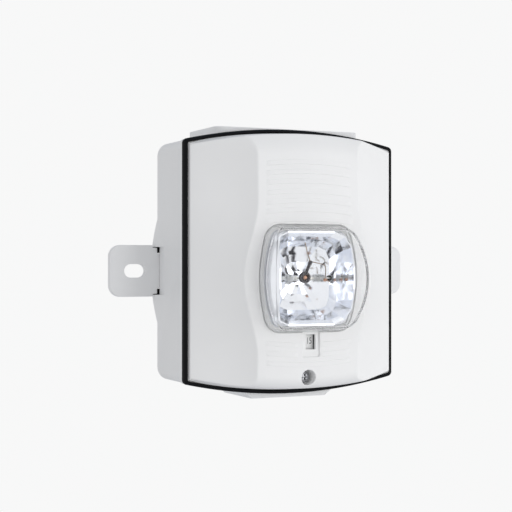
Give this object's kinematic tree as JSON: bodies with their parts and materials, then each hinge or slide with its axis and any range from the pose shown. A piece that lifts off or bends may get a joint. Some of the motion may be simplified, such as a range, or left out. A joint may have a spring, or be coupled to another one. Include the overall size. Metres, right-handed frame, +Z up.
{
  "type": "horn strobe",
  "caption": "Wall horn strobe: hinged head with clear strobe lens, horn and captive screw, on a gasketed weatherproof back box with side mounting flanges.",
  "frame": {"origin": "centre of the back box's flat rear face, on the wall", "axes": "+X to the right as a person facing the wall sees it, +Y into the wall, +Z up"},
  "size_m": [0.1768, 0.0773, 0.1423],
  "materials": {
    "housing_white": "moulded, fine satin grain",
    "box_white": "moulded, fine matt grain",
    "gasket_black": "moulded, matt",
    "lens_clear": "clear moulded polycarbonate, polished",
    "reflector_bright": "vacuum metallised, mirror bright",
    "tube_glass": "clear glass with dark electrodes",
    "clip_dark": "blackened spring steel",
    "wire_tinned": "tinned wire",
    "screw_steel": "zinc plated",
    "plate_grey": "moulded, satin",
    "terminal_black": "moulded, satin",
    "contact_brass": "stamped, slightly dull",
    "board_green": "glass-fibre board with solder resist",
    "part_black": "moulded, satin",
    "winding_copper": "enamelled copper winding",
    "label_white": "moulded, satin, with printed figures"
  },
  "bodies": {
    "box": {"back_box": "box_white", "perimeter_gasket": "gasket_black", "mounting_plate": "plate_grey", "plate_screw_1": "screw_steel", "plate_screw_2": "screw_steel", "plate_screw_3": "screw_steel", "plate_screw_4": "screw_steel", "terminal_block": "terminal_black", "terminal_clamp_1": "contact_brass", "terminal_clamp_2": "contact_brass", "terminal_clamp_3": "contact_brass", "terminal_clamp_4": "contact_brass", "terminal_screw_1": "screw_steel", "terminal_screw_2": "screw_steel", "terminal_screw_3": "screw_steel", "terminal_screw_4": "screw_steel", "shorting_spring": "contact_brass", "conduit_plug_top": "box_white", "conduit_plug_bottom": "box_white", "plug_seal_top": "gasket_black", "plug_seal_bottom": "gasket_black"},
    "head": {"front_housing": "housing_white", "rear_cover": "plate_grey", "cover_screw_1": "screw_steel", "cover_screw_2": "screw_steel", "cover_screw_3": "screw_steel", "cover_screw_4": "screw_steel", "lens": "lens_clear", "lens_seal": "gasket_black", "reflector": "reflector_bright", "flash_tube": "tube_glass", "tube_clip": "clip_dark", "trigger_wire": "wire_tinned", "tube_grommet_left": "gasket_black", "tube_grommet_right": "gasket_black", "circuit_board": "board_green", "board_screw_1": "screw_steel", "board_screw_2": "screw_steel", "flash_capacitor": "part_black", "trigger_transformer": "winding_copper", "boost_inductor": "winding_copper", "control_chip": "part_black", "horn_chamber": "part_black", "piezo_disc": "contact_brass", "contact_blade_1": "contact_brass", "contact_blade_2": "contact_brass", "contact_blade_3": "contact_brass", "contact_blade_4": "contact_brass", "tone_switch": "part_black"},
    "mounting_flange_left": {"mounting_flange_left": "box_white"},
    "mounting_flange_right": {"mounting_flange_right": "box_white"},
    "tone_dial": {"tone_dial": "label_white"},
    "candela_slide": {"candela_slide": "label_white"},
    "captive_washer": {"captive_washer": "screw_steel"},
    "captive_screw": {"captive_screw": "screw_steel"}
  },
  "joints": [
    {"name": "head_hinge", "type": "hinge", "parent": "box", "child": "head", "pos_m": [0, -0.04, 0.0677], "axis": [-1, 0, 0], "range_deg": [0, 30]},
    {"name": "screw_travel", "type": "slide", "parent": "head", "child": "captive_washer", "axis": [0, -1, 0], "range_m": [0, 0.0056]},
    {"name": "screw_turn", "type": "hinge", "parent": "captive_washer", "child": "captive_screw", "pos_m": [0, -0.04, -0.0599], "axis": [0, -1, 0], "range_deg": [0, 2880]},
    {"name": "candela_setting", "type": "slide", "parent": "head", "child": "candela_slide", "axis": [-1, 0, 0], "range_m": [0, 0.024]},
    {"name": "tone_setting", "type": "hinge", "parent": "head", "child": "tone_dial", "pos_m": [0.026, -0.04, 0.034], "axis": [0, 1, 0], "range_deg": [0, 315]},
    {"name": "flange_left_release", "type": "slide", "parent": "box", "child": "mounting_flange_left", "axis": [-1, 0, 0], "range_m": [0, 0.012]},
    {"name": "flange_right_release", "type": "slide", "parent": "box", "child": "mounting_flange_right", "axis": [1, 0, 0], "range_m": [0, 0.012]}
  ],
  "couplings": [
    {"joint": "screw_turn", "follows": "screw_travel", "rad_per_m": 8976}
  ]
}
